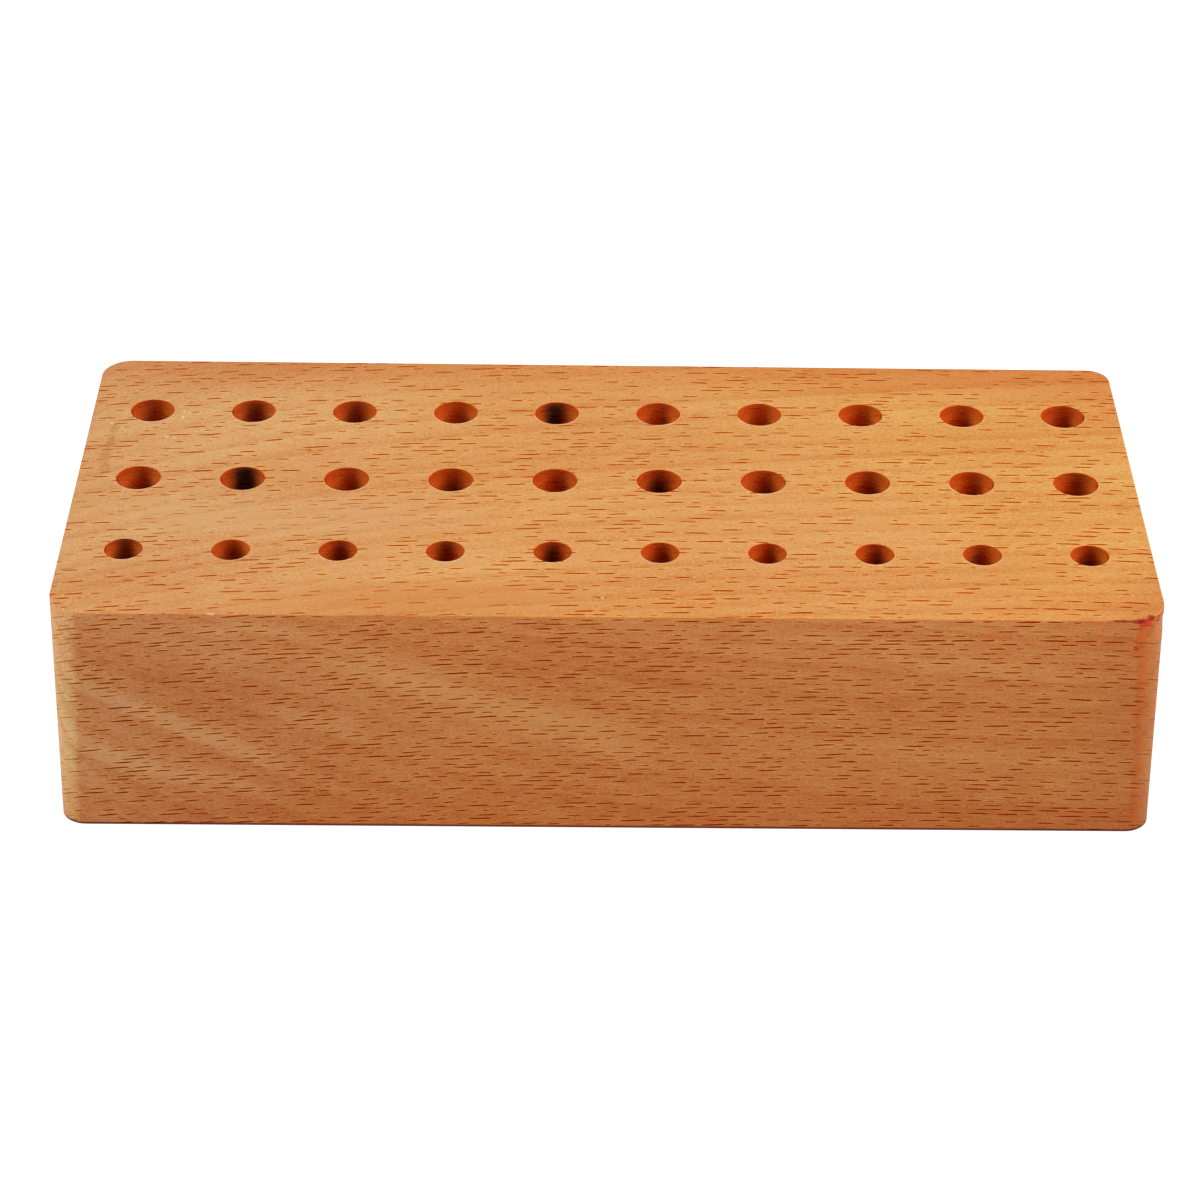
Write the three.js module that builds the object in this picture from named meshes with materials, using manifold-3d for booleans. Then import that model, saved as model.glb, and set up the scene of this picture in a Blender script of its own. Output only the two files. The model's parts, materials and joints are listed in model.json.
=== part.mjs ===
// A stand for screwdrivers: one solid block of beech, drilled from above with three rows of blind
// holes, narrower ones at the front.
// Millimetres. +Z is up, +X runs to the right along the rows and +Y to the back.
// The origin is on the underside, in the middle of the block.

import * as THREE from 'three';
import { mergeVertices, toCreasedNormals } from 'three/addons/utils/BufferGeometryUtils.js';
import Module from 'manifold-3d';

// The block
const blockLength = 215.5;
const blockDepth = 98.4;
const blockHeight = 50;
const frontCornerRadius = 7.2;
const backLeftCornerRadius = 6.4;
const backRightCornerRadius = 4.6;
const edgeEase = 0.4;

// The holes, with the front row's middle this far behind the front face
const holesPerRow = 10;
const holePitch = 21;
const rowSpacing = 27;
const frontMargin = 23.1;
const wideHoleDiameter = 9;
const narrowHoleDiameter = 7.5;
const holeDepth = 40;
const rimEase = 0.3;
const drillPointAngle = 118;

// How far a cutter stands above the face that it cuts
const cutOverrun = 2;

// Facets
const cornerDivisions = 5;
const holeSides = 24;
const creaseAngle = 35;

const wasm = await Module();
wasm.setup();

// A closed manifold solid from a three.js geometry, without the empty triangles that a lathe leaves on its axis
function toSolid(geometry) {
  const bare = geometry.clone();
  bare.deleteAttribute('normal');
  bare.deleteAttribute('uv');
  const merged = mergeVertices(bare);
  const corners = merged.index.array;
  const kept = [];
  for (let first = 0; first < corners.length; first += 3) {
    const [a, b, c] = corners.slice(first, first + 3);
    if (a !== b && b !== c && c !== a) {
      kept.push(a, b, c);
    }
  }
  const mesh = new wasm.Mesh({
    numProp: 3,
    vertProperties: new Float32Array(merged.attributes.position.array),
    triVerts: new Uint32Array(kept),
  });
  return new wasm.Manifold(mesh);
}

// A three.js geometry from a manifold solid, smooth round the holes and corners and crisp at the edges
function toGeometry(solid) {
  const mesh = solid.getMesh();
  const geometry = new THREE.BufferGeometry();
  geometry.setAttribute('position', new THREE.BufferAttribute(mesh.vertProperties, mesh.numProp));
  geometry.setIndex(new THREE.BufferAttribute(mesh.triVerts, 1));
  return toCreasedNormals(geometry, THREE.MathUtils.degToRad(creaseAngle));
}

// The outline of the block from above, anticlockwise from the front left corner
function blockOutline() {
  const right = blockLength / 2;
  const back = blockDepth / 2;
  const corners = [
    { x: -right, y: -back, radius: frontCornerRadius },
    { x: right, y: -back, radius: frontCornerRadius },
    { x: right, y: back, radius: backRightCornerRadius },
    { x: -right, y: back, radius: backLeftCornerRadius },
  ];
  const outline = new THREE.Shape();
  corners.forEach(({ x, y, radius }, turn) => {
    const centreX = x - Math.sign(x) * radius;
    const centreY = y - Math.sign(y) * radius;
    const start = Math.PI + (turn * Math.PI) / 2;
    outline.absarc(centreX, centreY, radius, start, start + Math.PI / 2, false);
  });
  outline.closePath();
  return outline;
}

// The block before it is drilled, with its long edges eased
function makeBlank() {
  const blank = new THREE.ExtrudeGeometry(blockOutline(), {
    depth: blockHeight - 2 * edgeEase,
    curveSegments: cornerDivisions,
    bevelEnabled: true,
    bevelSegments: 1,
    bevelThickness: edgeEase,
    bevelSize: edgeEase,
    bevelOffset: -edgeEase,
  });
  blank.translate(0, 0, edgeEase);
  return blank;
}

// What one hole takes away, with its mouth at the origin: the drill's point, the straight wall and the eased rim
function makeDrill(diameter) {
  const radius = diameter / 2;
  const pointHeight = radius / Math.tan(THREE.MathUtils.degToRad(drillPointAngle / 2));
  const profile = [
    new THREE.Vector2(0, -holeDepth - pointHeight),
    new THREE.Vector2(radius, -holeDepth),
    new THREE.Vector2(radius, -rimEase),
    new THREE.Vector2(radius + rimEase + cutOverrun, cutOverrun),
    new THREE.Vector2(0, cutOverrun),
  ];
  const drill = new THREE.LatheGeometry(profile, holeSides);
  drill.rotateX(Math.PI / 2);
  return drill;
}

// The middle of each hole's mouth, row by row from the front
function holePlaces() {
  const rowDiameters = [narrowHoleDiameter, wideHoleDiameter, wideHoleDiameter];
  const firstX = (-(holesPerRow - 1) * holePitch) / 2;
  const firstY = -blockDepth / 2 + frontMargin;
  return rowDiameters.flatMap((diameter, row) =>
    Array.from({ length: holesPerRow }, (_, column) => ({
      diameter,
      x: firstX + column * holePitch,
      y: firstY + row * rowSpacing,
    })),
  );
}

// The drilled block
function makeBlock() {
  let solid = toSolid(makeBlank());
  for (const { diameter, x, y } of holePlaces()) {
    const drill = makeDrill(diameter).translate(x, y, blockHeight);
    solid = solid.subtract(toSolid(drill));
  }
  return toGeometry(solid);
}

const beech = new THREE.MeshStandardMaterial({ color: '#c98a52', roughness: 0.5, metalness: 0 });

const block = new THREE.Mesh(makeBlock(), beech);
block.name = 'beech_block';

const screwdriverHolder = new THREE.Group();
screwdriverHolder.add(block);

export default screwdriverHolder;
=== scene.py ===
"""Looks of a screwdriver holder: one block of oiled beech, drilled from above with three rows of holes.

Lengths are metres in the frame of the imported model: +X to the right along the rows, +Y to the back and
+Z up, with the origin under the middle of the block. The grain is worked out in millimetres.
"""

import json
import logging
import math
from contextlib import contextmanager
from dataclasses import dataclass
from enum import Enum
from typing import Callable, Iterator, Sequence, Union

import bmesh
import bpy
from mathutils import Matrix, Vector


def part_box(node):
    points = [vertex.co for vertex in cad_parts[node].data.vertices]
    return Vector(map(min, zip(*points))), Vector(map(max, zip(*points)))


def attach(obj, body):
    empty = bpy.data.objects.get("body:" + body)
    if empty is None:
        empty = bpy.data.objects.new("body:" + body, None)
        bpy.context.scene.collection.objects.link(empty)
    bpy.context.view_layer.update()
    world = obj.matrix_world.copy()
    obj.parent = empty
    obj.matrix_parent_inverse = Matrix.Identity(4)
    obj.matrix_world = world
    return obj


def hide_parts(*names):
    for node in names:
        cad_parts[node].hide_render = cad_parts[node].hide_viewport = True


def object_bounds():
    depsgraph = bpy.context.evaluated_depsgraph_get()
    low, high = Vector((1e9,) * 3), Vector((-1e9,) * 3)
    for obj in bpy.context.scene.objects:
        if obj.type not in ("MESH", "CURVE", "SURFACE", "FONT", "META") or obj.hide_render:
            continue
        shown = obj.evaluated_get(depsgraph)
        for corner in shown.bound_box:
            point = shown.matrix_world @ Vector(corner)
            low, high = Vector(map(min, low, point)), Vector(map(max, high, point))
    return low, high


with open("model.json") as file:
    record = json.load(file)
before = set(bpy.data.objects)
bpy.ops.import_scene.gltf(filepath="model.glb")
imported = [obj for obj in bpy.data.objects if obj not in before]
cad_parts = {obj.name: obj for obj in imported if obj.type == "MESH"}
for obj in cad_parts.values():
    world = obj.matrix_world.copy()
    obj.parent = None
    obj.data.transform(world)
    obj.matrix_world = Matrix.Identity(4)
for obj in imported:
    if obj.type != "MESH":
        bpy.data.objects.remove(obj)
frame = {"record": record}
cad_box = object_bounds()

log = logging.getLogger("screwdriver_holder")

MM = 0.001
NODE = "beech_block"
BODY = "root"
SCORCH_AND_SHADE = "scorch_and_shade"
NEAR = 0.01 * MM
MARK_EDGE = (1.0, 0.35)

Colour = tuple[float, float, float]
Socket = bpy.types.NodeSocket
Feed = Union[Socket, float, Sequence[float]]
Feeds = Union[Sequence[Feed], dict[str, Feed]]


class Element(Enum):
    """What a selection in edit mode picks."""

    VERTICES = "VERT"
    EDGES = "EDGE"
    FACES = "FACE"


class Finish(Enum):
    """The finishes of the wood, by the slot on the piece that each one has."""

    PLANED = 0
    DRILLED = 1


# Shaping by hand in edit mode


def clear_selection() -> None:
    """Deselect every object, so that an operator acts on the new piece alone."""
    bpy.ops.object.select_all(action="DESELECT")


def activate(piece: bpy.types.Object) -> None:
    """Select one piece alone and make it the active one.

    Args:
        piece: The mesh object.
    """
    clear_selection()
    piece.select_set(True)
    bpy.context.view_layer.objects.active = piece


@contextmanager
def editing(piece: bpy.types.Object) -> Iterator[None]:
    """Hold one piece in edit mode, with nothing of it selected at the start.

    Args:
        piece: The mesh object to edit.
    """
    activate(piece)
    bpy.ops.object.mode_set(mode="EDIT")
    bpy.ops.mesh.select_all(action="DESELECT")
    yield
    bpy.ops.object.mode_set(mode="OBJECT")


def pick(piece: bpy.types.Object, element: Element, fits: Callable[[list[Vector]], bool]) -> int:
    """Select only the elements of a piece in edit mode whose corners pass a test.

    Args:
        piece: The mesh object in edit mode.
        element: Whether vertices, edges or faces are picked.
        fits: Takes the list of an element's corners and says whether to pick it.

    Returns:
        How many elements are selected.
    """
    bpy.ops.mesh.select_mode(type=element.value)
    bpy.ops.mesh.select_all(action="DESELECT")
    mesh = bmesh.from_edit_mesh(piece.data)
    items = {Element.VERTICES: mesh.verts, Element.EDGES: mesh.edges, Element.FACES: mesh.faces}[element]
    count = 0
    for item in items:
        corners = [item.co] if element is Element.VERTICES else [vertex.co for vertex in item.verts]
        if fits(corners):
            item.select_set(True)
            count += 1
    mesh.select_flush_mode()
    bmesh.update_edit_mesh(piece.data)
    return count


def level(corners: list[Vector], height: float) -> bool:
    """Whether all corners lie at one height."""
    return all(abs(corner.z - height) < NEAR for corner in corners)


def settle(piece: bpy.types.Object) -> None:
    """Put a piece's place into its mesh, so that its object stands at the origin, unturned and unscaled."""
    activate(piece)
    bpy.ops.object.transform_apply(location=True, rotation=True, scale=True)


def apply_modifier(piece: bpy.types.Object, kind: str, **settings: object) -> None:
    """Add one modifier to a piece and apply it.

    Args:
        piece: The object that gets the modifier.
        kind: Blender's name for the kind of modifier.
        **settings: The modifier's own settings.
    """
    modifier = piece.modifiers.new(kind.title(), kind)
    for name, value in settings.items():
        setattr(modifier, name, value)
    activate(piece)
    bpy.ops.object.modifier_apply(modifier=modifier.name)


# Building materials


class NodeBench:
    """A node tree, with short calls that each add a node and hand back its output."""

    def __init__(self, tree: bpy.types.NodeTree) -> None:
        """Start on a node tree."""
        self.tree = tree

    def add(self, kind: str, **settings: object) -> bpy.types.Node:
        """Add a node.

        Args:
            kind: The node's type name.
            **settings: Properties of the node.

        Returns:
            The new node.
        """
        node = self.tree.nodes.new(kind)
        for name, value in settings.items():
            setattr(node, name, value)
        return node

    def feed(self, socket: Socket, value: Feed) -> None:
        """Link an output to an input, or set the input's own value.

        Args:
            socket: The input.
            value: An output socket, a number, or the numbers of a vector or colour.
        """
        if isinstance(value, bpy.types.NodeSocket):
            self.tree.links.new(value, socket)
        elif socket.type == "RGBA" and len(value) == 3:
            socket.default_value = (*value, 1.0)
        else:
            socket.default_value = value

    def through(self, kind: str, values: Feeds, output: Union[int, str] = 0, **settings: object) -> Socket:
        """Add a node, feed it and hand back one of its outputs.

        Args:
            kind: The node's type name.
            values: What its inputs get, in their order or by their names.
            output: The place or the name of the output.
            **settings: Properties of the node.

        Returns:
            The output.
        """
        node = self.add(kind, **settings)
        pairs = values.items() if isinstance(values, dict) else enumerate(values)
        for key, value in pairs:
            self.feed(node.inputs[key], value)
        return node.outputs[output]

    def math(self, operation: str, *values: Feed, clamp: bool = False) -> Socket:
        """One step of arithmetic, by Blender's name for it, held between 0 and 1 where clamp is set."""
        return self.through("ShaderNodeMath", values, operation=operation, use_clamp=clamp)

    def times(self, *values: Feed) -> Socket:
        """Multiply two or more values.

        Args:
            *values: The values.

        Returns:
            Their product.
        """
        total = values[0]
        for value in values[1:]:
            total = self.math("MULTIPLY", total, value)
        return total

    def line(self, value: Feed, slope: Feed, start: Feed) -> Socket:
        """A value times one number, plus another."""
        return self.math("MULTIPLY_ADD", value, slope, start)

    def plus(self, value: Feed, other: Feed) -> Socket:
        """The sum of two values."""
        return self.math("ADD", value, other)

    def less(self, value: Feed, other: Feed) -> Socket:
        """One value less another."""
        return self.math("SUBTRACT", value, other)

    def unsigned(self, value: Feed) -> Socket:
        """A value without its sign."""
        return self.math("ABSOLUTE", value)

    def weighted(self, *terms: tuple[Feed, float]) -> Socket:
        """A sum of values, each times its own weight.

        Args:
            *terms: Pairs of a value and its weight.

        Returns:
            The sum.
        """
        total: Feed = 0.0
        for value, weight in terms:
            total = self.line(value, weight, total)
        return total

    def ease(self, value: Feed, start: Feed, end: Feed) -> Socket:
        """A smooth step, from 0 where a value is at the start to 1 where it is at the end."""
        return self.through("ShaderNodeMapRange", {"Value": value, "From Min": start, "From Max": end},
                            "Result", interpolation_type="SMOOTHSTEP", clamp=True)

    def join(self, x: Feed, y: Feed, z: Feed) -> Socket:
        """A vector of three values."""
        return self.through("ShaderNodeCombineXYZ", (x, y, z))

    def split(self, vector: Feed) -> tuple[Socket, Socket, Socket]:
        """The three values of a vector."""
        return tuple(self.through("ShaderNodeSeparateXYZ", (vector,)).node.outputs)

    def vector(self, operation: str, *values: Feed) -> Socket:
        """One step of vector arithmetic that gives a vector, by Blender's name for it."""
        return self.through("ShaderNodeVectorMath", values, "Vector", operation=operation)

    def length(self, vector: Feed) -> Socket:
        """The length of a vector."""
        return self.through("ShaderNodeVectorMath", (vector,), "Value", operation="LENGTH")

    def noise(self, place: Feed, detail: float = 2.0, roughness: float = 0.5) -> Socket:
        """Smooth noise about zero, one cell to a unit of its place.

        Args:
            place: Where the noise is read.
            detail: How many finer layers it has.
            roughness: How much the finer layers count.

        Returns:
            The noise, mostly between -0.5 and 0.5.
        """
        values = {"Vector": place, "Scale": 1.0, "Detail": detail, "Roughness": roughness}
        return self.less(self.through("ShaderNodeTexNoise", values, "Fac", noise_dimensions="3D"), 0.5)

    def chance(self, number: Feed) -> Socket:
        """A random value from 0 to 1 for each number."""
        return self.through("ShaderNodeTexWhiteNoise", {"W": number}, "Value", noise_dimensions="1D")

    def mix(self, share: Feed, first: Feed, second: Feed, blend: str = "MIX") -> Socket:
        """Mix two colours.

        Args:
            share: How much of the second colour counts.
            first: The first colour.
            second: The second colour.
            blend: Blender's name for the way they mix.

        Returns:
            The mixed colour.
        """
        node = self.add("ShaderNodeMix", data_type="RGBA", blend_type=blend, clamp_factor=True)
        inputs = [socket for socket in node.inputs if socket.enabled]
        for socket, value in zip(inputs, (share, first, second)):
            self.feed(socket, value)
        return next(socket for socket in node.outputs if socket.enabled)

    def tinted(self, colour: Feed, factor: Feed, share: Feed = 1.0) -> Socket:
        """A colour multiplied by a factor, as far as a share says."""
        return self.mix(share, colour, factor, "MULTIPLY")

    def place(self) -> Socket:
        """The point on the piece, in millimetres."""
        return self.vector("MULTIPLY", self.add("ShaderNodeTexCoord").outputs["Object"], (1 / MM,) * 3)

    def facing(self) -> tuple[Socket, Socket, Socket]:
        """How far the surface faces to the right, to the back and up."""
        return self.split(self.add("ShaderNodeTexCoord").outputs["Normal"])

    def ramp(self, value: Feed, stops: Sequence[tuple[float, Colour]]) -> Socket:
        """A run of colours.

        Args:
            value: Where on the run, from 0 to 1.
            stops: Places on the run, each with its colour.

        Returns:
            The colour there.
        """
        node = self.add("ShaderNodeValToRGB")
        points = node.color_ramp.elements
        while len(points) < len(stops):
            points.new(1.0)
        for point, (place, colour) in zip(points, stops):
            point.position = place
            point.color = (*colour, 1.0)
        self.feed(node.inputs[0], value)
        return node.outputs["Color"]


@dataclass(frozen=True)
class FleckLayer:
    """Short dark flecks, the edges of the beech's rays, in broken chains along the grain. Millimetres."""

    row_pitch: float
    pitch: float
    shortest: float
    longest: float
    evenness: float
    half_width: float
    softness: float
    jitter: float
    tilt_spread: float
    faintest: float
    halo_width: float
    pause_length: float
    pause_share: tuple[float, float]
    seed: float

    row_step = 41.7
    seed_step = 0.731
    tilt_step = 9.7
    looseness = 0.75
    taper = 0.8
    least_width = 0.55
    gap_pitch = 1.0
    gap_share = (-0.25, -0.18)
    row_stray = 0.2
    tip_depth = 0.62
    bluntness = 3.5
    least_active = 0.5
    least_room = 0.3
    soft_share = 0.35
    kept_edge = 0.04

    def cells(self, bench: NodeBench, steps: Socket, feature: str) -> bpy.types.Node:
        """Add a line of uneven cells, one to each fleck.

        Args:
            bench: The tree to build in.
            steps: The place along the cells.
            feature: Blender's name for what is measured.

        Returns:
            The node.
        """
        values = {"W": steps, "Scale": 1.0, "Randomness": self.looseness}
        return bench.through("ShaderNodeTexVoronoi", values, voronoi_dimensions="1D", feature=feature).node

    def build(self, bench: NodeBench, along: Socket, across: Socket, slope: Feed,
              sparse: Feed) -> tuple[Socket, Socket]:
        """Add the layer's nodes.

        Args:
            bench: The tree to build in.
            along: The place along the grain.
            across: The place across the chains.
            slope: How steeply the flecks stand to their chain.
            sparse: The share of the flecks that stays away.

        Returns:
            How dark the fleck is at a point, and how bright the pale wood along its edge, each from 0 to 1.
        """
        rows = bench.line(across, 1 / self.row_pitch, self.seed)
        row = bench.math("FLOOR", rows)
        in_row = bench.line(bench.less(rows, row), self.row_pitch, -self.row_pitch / 2)
        steps = bench.line(row, self.row_step, bench.times(along, 1 / self.pitch))
        cells = self.cells(bench, steps, "F1")
        length_draw, side_draw, depth_draw = bench.split(cells.outputs["Color"])
        tilt_draw = bench.math("FRACT", bench.times(side_draw, self.tilt_step))
        from_middle = bench.times(bench.less(steps, cells.outputs["W"]), self.pitch)
        borders = self.cells(bench, steps, "DISTANCE_TO_EDGE")
        room = bench.times(borders.outputs["Distance"], self.pitch / self.taper)

        run = bench.join(bench.times(along, 1 / self.pause_length),
                         bench.times(row, self.seed_step), self.seed)
        active = bench.ease(bench.noise(run, detail=1.0), *self.pause_share)
        size = bench.times(bench.math("POWER", length_draw, self.evenness),
                           bench.line(active, 1 - self.least_active, self.least_active))
        half_length = bench.line(size, self.longest - self.shortest, self.shortest)
        half_width = bench.line(bench.math("SQRT", size), self.half_width * (1 - self.least_width),
                                self.half_width * self.least_width)

        lean = bench.line(tilt_draw, self.tilt_spread, -self.tilt_spread / 2)
        lean = bench.times(bench.plus(lean, slope), from_middle)
        stray = bench.times(bench.chance(row), self.row_stray)
        aside = bench.weighted((in_row, 1.0), (side_draw, -self.jitter), (lean, -1.0), (stray, 1.0))
        aside = bench.unsigned(bench.plus(aside, (self.jitter - self.row_stray) / 2))
        reached = bench.unsigned(bench.math("DIVIDE", from_middle, half_length))
        lens = bench.less(1.0, bench.math("POWER", reached, self.bluntness))
        lens = bench.math("MINIMUM", lens, bench.less(room, self.least_room))
        edge = bench.line(lens, half_width, bench.times(aside, -1.0))
        body = bench.ease(edge, -self.softness * self.soft_share, self.softness * (1 - self.soft_share))

        depth = bench.line(depth_draw, 1.0 - self.faintest, self.faintest)
        kept = bench.ease(bench.less(depth_draw, sparse), -self.kept_edge, self.kept_edge)
        gaps = bench.noise(bench.join(bench.times(along, 1 / self.gap_pitch), row, self.seed), detail=1.0)
        fullness = bench.line(bench.math("MAXIMUM", lens, 0.0), 1 - self.tip_depth, self.tip_depth)
        strength = bench.times(depth, bench.ease(gaps, *self.gap_share), kept, active, fullness)
        rim = bench.ease(bench.plus(edge, self.halo_width), -self.softness, self.softness)
        halo = bench.times(rim, bench.less(1.0, body))
        return bench.times(body, strength), bench.times(halo, strength)


@dataclass(frozen=True)
class Mark:
    """One small soft mark on the wood: a smudge, a scratch, a chip or a stain. Millimetres."""

    place: tuple[float, float, float]
    reach: tuple[float, float, float]
    colour: Colour
    strength: float
    speckle: float = 0.5
    grain: float = 1.0


@dataclass(frozen=True)
class PaleBand:
    """A paler or deeper band through the rings, by where it crosses the front. Millimetres."""

    x: float
    z: float
    half_length: float
    half_width: float
    strength: float
    slope: float = 0.0


@dataclass(frozen=True)
class Tint:
    """A slow change of colour along one direction, for the wood's own tone and for some painted light and
    shade. Millimetres.
    """

    direction: tuple[float, float, float]
    start: float
    end: float
    factor: Colour

    def lay(self, bench: NodeBench, colour: Socket, place: tuple[Socket, Socket, Socket]) -> Socket:
        """Lay the change over a colour, by the three coordinates of its place."""
        far = bench.weighted(*((value, weight) for value, weight in zip(place, self.direction) if weight))
        return bench.tinted(colour, self.factor, bench.ease(far, self.start, self.end))


@dataclass(frozen=True)
class CornerStrip:
    """The other tone of the wood where a front corner is rounded and the fibres are cut across."""

    right: int
    turn: tuple[float, float]
    factor: Colour

    def lay(self, bench: NodeBench, colour: Socket, normal_x: Socket, where: Socket) -> Socket:
        """Lay the tone over a colour, by how far the surface faces to the right and how much may show."""
        turned = bench.ease(bench.times(normal_x, self.right), *self.turn)
        return bench.tinted(colour, self.factor, bench.times(turned, where))


@dataclass(frozen=True)
class Streaks:
    """Noise with its cells drawn out along the grain. Millimetres."""

    length: float
    width: float
    weight: float
    detail: float = 1.0
    roughness: float = 0.5

    def read(self, bench: NodeBench, spot: Socket) -> tuple[Socket, float]:
        """Give the noise at a spot, in lengths along, across and out through the rings, and its weight."""
        stretched = bench.vector("MULTIPLY", spot, (1 / self.length, 1 / self.width, 1 / self.width))
        return bench.noise(stretched, self.detail, self.roughness), self.weight


@dataclass(frozen=True)
class BeechGrain:
    """Steamed beech as a solid: growth rings, fibres and ray flecks that run on from face to face."""

    # Which way the rings face, from the back towards the top, and how the trunk bends past the block
    ring_tilt = math.radians(35.0)
    bend = 27.2
    bend_start = -107.0
    bend_fade = 80.0
    ring_radius = 120.0
    rise = 0.0213
    rise_turn = 0.000226
    chain_share = 0.35
    side_lean = 0.017
    wander = 2.2
    wander_length = 46.0
    wander_stretch = 0.6

    # The plain wood: the rings' width, what they add, and the noise of several widths laid over them
    ring_width = 3.6
    ring_weight = -0.22
    least_ring = 0.2
    late_start = (0.35, 0.93)
    late_end = (0.94, 1.0)
    uneven_weight = 1.3
    uneven_width = 11.0
    uneven_drift = 0.004
    uneven_seed = 0.3
    band_width = 15.0
    band_weight = 0.7
    band_drift = 0.0035
    band_seed = 4.7
    band_detail = 1.5
    band_fade = 0.35
    band_front = -49.0
    clouds = Streaks(60.0, 22.0, 0.5, 2.0)
    mottle = Streaks(6.5, 1.7, 0.45)
    fibres = Streaks(8.0, 0.48, 0.95, 3.0, 0.6)
    pores = Streaks(0.55, 0.20, 1.3)
    fine_least = 0.3
    middle_tone = 0.50
    warm_place = 0.45

    # Where the surface counts as flat, turned, an end or an edge, by how far it faces up or to the right
    flat_turn = (0.2, 0.9)
    corner_turn = (0.2, 0.5)
    corner_loss = 0.4
    end_turn = (0.93, 0.995)
    edge_start = (0.05, 0.3)
    edge_end = (0.96, 0.8)

    # Where the corner strips start towards the front, and how much of the listed bands the top shows
    strip_reach = (-38.0, -42.0)
    banded_least = 0.15

    # The share of the flecks that stays away on the top, and on the sides towards the right
    top_sparse = 0.42
    right_sparse = 0.15
    sparse_reach = (0.0, 100.0)
    thin_sparse = 0.3

    fleck_relief = -1.0
    thin_relief = -0.4
    tone_relief = 0.25

    deep: Colour = (0.509, 0.158, 0.0358)
    warm: Colour = (0.594, 0.257, 0.0762)
    pale: Colour = (0.674, 0.385, 0.142)

    fleck_tone: Colour = (0.58, 0.14, 0.0)
    side_fleck_tone: Colour = (0.38, 0.04, 0.0)
    fleck_halo: Colour = (1.10, 1.09, 0.92)
    side_fleck_halo: Colour = (1.16, 1.16, 0.92)
    thin_fleck_tone: Colour = (0.72, 0.50, 0.30)
    side_tone: Colour = (0.873, 0.732, 0.72)
    end_tone: Colour = (0.66, 0.52, 0.42)
    edge_highlight_tone: Colour = (1.10, 1.02, 0.90)

    flecks: FleckLayer = FleckLayer(
        row_pitch=0.84, pitch=5.9, shortest=0.6, longest=4.0, evenness=1.55, half_width=0.15,
        softness=0.06, jitter=0.14, tilt_spread=0.05, faintest=0.8, halo_width=0.18,
        pause_length=12.0, pause_share=(-0.15, -0.06), seed=3.0)
    thin_flecks: FleckLayer = FleckLayer(
        row_pitch=0.74, pitch=4.2, shortest=0.5, longest=2.4, evenness=1.4, half_width=0.10,
        softness=0.10, jitter=0.4, tilt_spread=0.06, faintest=0.3, halo_width=0.05,
        pause_length=13.0, pause_share=(-0.1, 0.1), seed=57.0)
    pale_bands: tuple[PaleBand, ...] = ()
    tints: tuple[Tint, ...] = ()
    strips: tuple[CornerStrip, ...] = ()

    def depth_of(self, x: float, y: float, z: float) -> float:
        """How far out through the rings a point lies, without their small wander.

        Args:
            x: Its place along the block, in millimetres.
            y: Its place across the block.
            z: Its height.

        Returns:
            The distance outwards, in millimetres.
        """
        cos_tilt, sin_tilt = math.cos(self.ring_tilt), math.sin(self.ring_tilt)
        across = y * sin_tilt + z * cos_tilt - x * (self.rise - self.rise_turn * x)
        fade = math.exp((self.bend_start - x) / self.bend_fade)
        return z * sin_tilt - y * cos_tilt - self.bend * fade + across * across * 0.5 / self.ring_radius

    def build(self, bench: NodeBench, flecked: float = 1.0) -> tuple[Socket, Socket, Socket]:
        """Add the nodes of the solid grain.

        Args:
            bench: The tree to build in.
            flecked: How much of the flecks' darkness shows.

        Returns:
            The wood's colour, its height for the bump, and how dark its flecks are.
        """
        place = bench.place()
        x, y, z = bench.split(place)
        normal_x, _, normal_z = bench.facing()
        flat = bench.ease(bench.unsigned(normal_z), *self.flat_turn)
        side = bench.less(1.0, flat)

        cos_tilt, sin_tilt = math.cos(self.ring_tilt), math.sin(self.ring_tilt)
        cell = 1 / self.wander_length
        drift = bench.noise(bench.vector("MULTIPLY", place, (cell * self.wander_stretch, cell, cell)))
        lift = bench.times(x, bench.line(x, -self.rise_turn, self.rise))
        level = bench.weighted((y, sin_tilt), (z, cos_tilt), (drift, self.wander))
        across = bench.less(level, lift)
        fade = bench.math("EXPONENT", bench.line(x, -1 / self.bend_fade, self.bend_start / self.bend_fade))
        out = bench.weighted((y, -cos_tilt), (z, sin_tilt), (fade, -self.bend),
                             (bench.times(across, across), 0.5 / self.ring_radius), (drift, -self.wander))

        tone = self.tones(bench, x, across, out, bench.line(side, 1 - self.banded_least, self.banded_least))
        colour = bench.ramp(tone, ((0.0, self.deep), (self.warm_place, self.warm), (1.0, self.pale)))
        # Some tints are painted light: a painted shadow along the foot, painted shade low on the sides and a
        # painted reflection towards the left.
        for tint in self.tints:
            colour = tint.lay(bench, colour, (x, y, z))

        chains = bench.line(lift, -self.chain_share, level)
        steep = 1 - self.chain_share
        slope = bench.line(x, -2 * self.rise_turn * steep, self.rise * steep)
        slope = bench.line(side, self.side_lean, slope)
        rightward = bench.times(side, bench.ease(x, *self.sparse_reach))
        sparse = bench.weighted((flat, self.top_sparse), (rightward, self.right_sparse))
        flecks, halo = self.flecks.build(bench, x, chains, slope, sparse)
        thin, _ = self.thin_flecks.build(bench, x, chains, slope, bench.times(flat, self.thin_sparse))
        turned = bench.unsigned(normal_x)
        shown = bench.line(bench.ease(turned, *self.corner_turn), -self.corner_loss * flecked, flecked)
        flecks, halo, thin = (bench.times(part, shown) for part in (flecks, halo, thin))
        colour = bench.tinted(colour, self.thin_fleck_tone, thin)
        colour = bench.tinted(colour, bench.mix(side, self.fleck_halo, self.side_fleck_halo), halo)
        colour = bench.tinted(colour, bench.mix(side, self.fleck_tone, self.side_fleck_tone), flecks)

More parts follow.
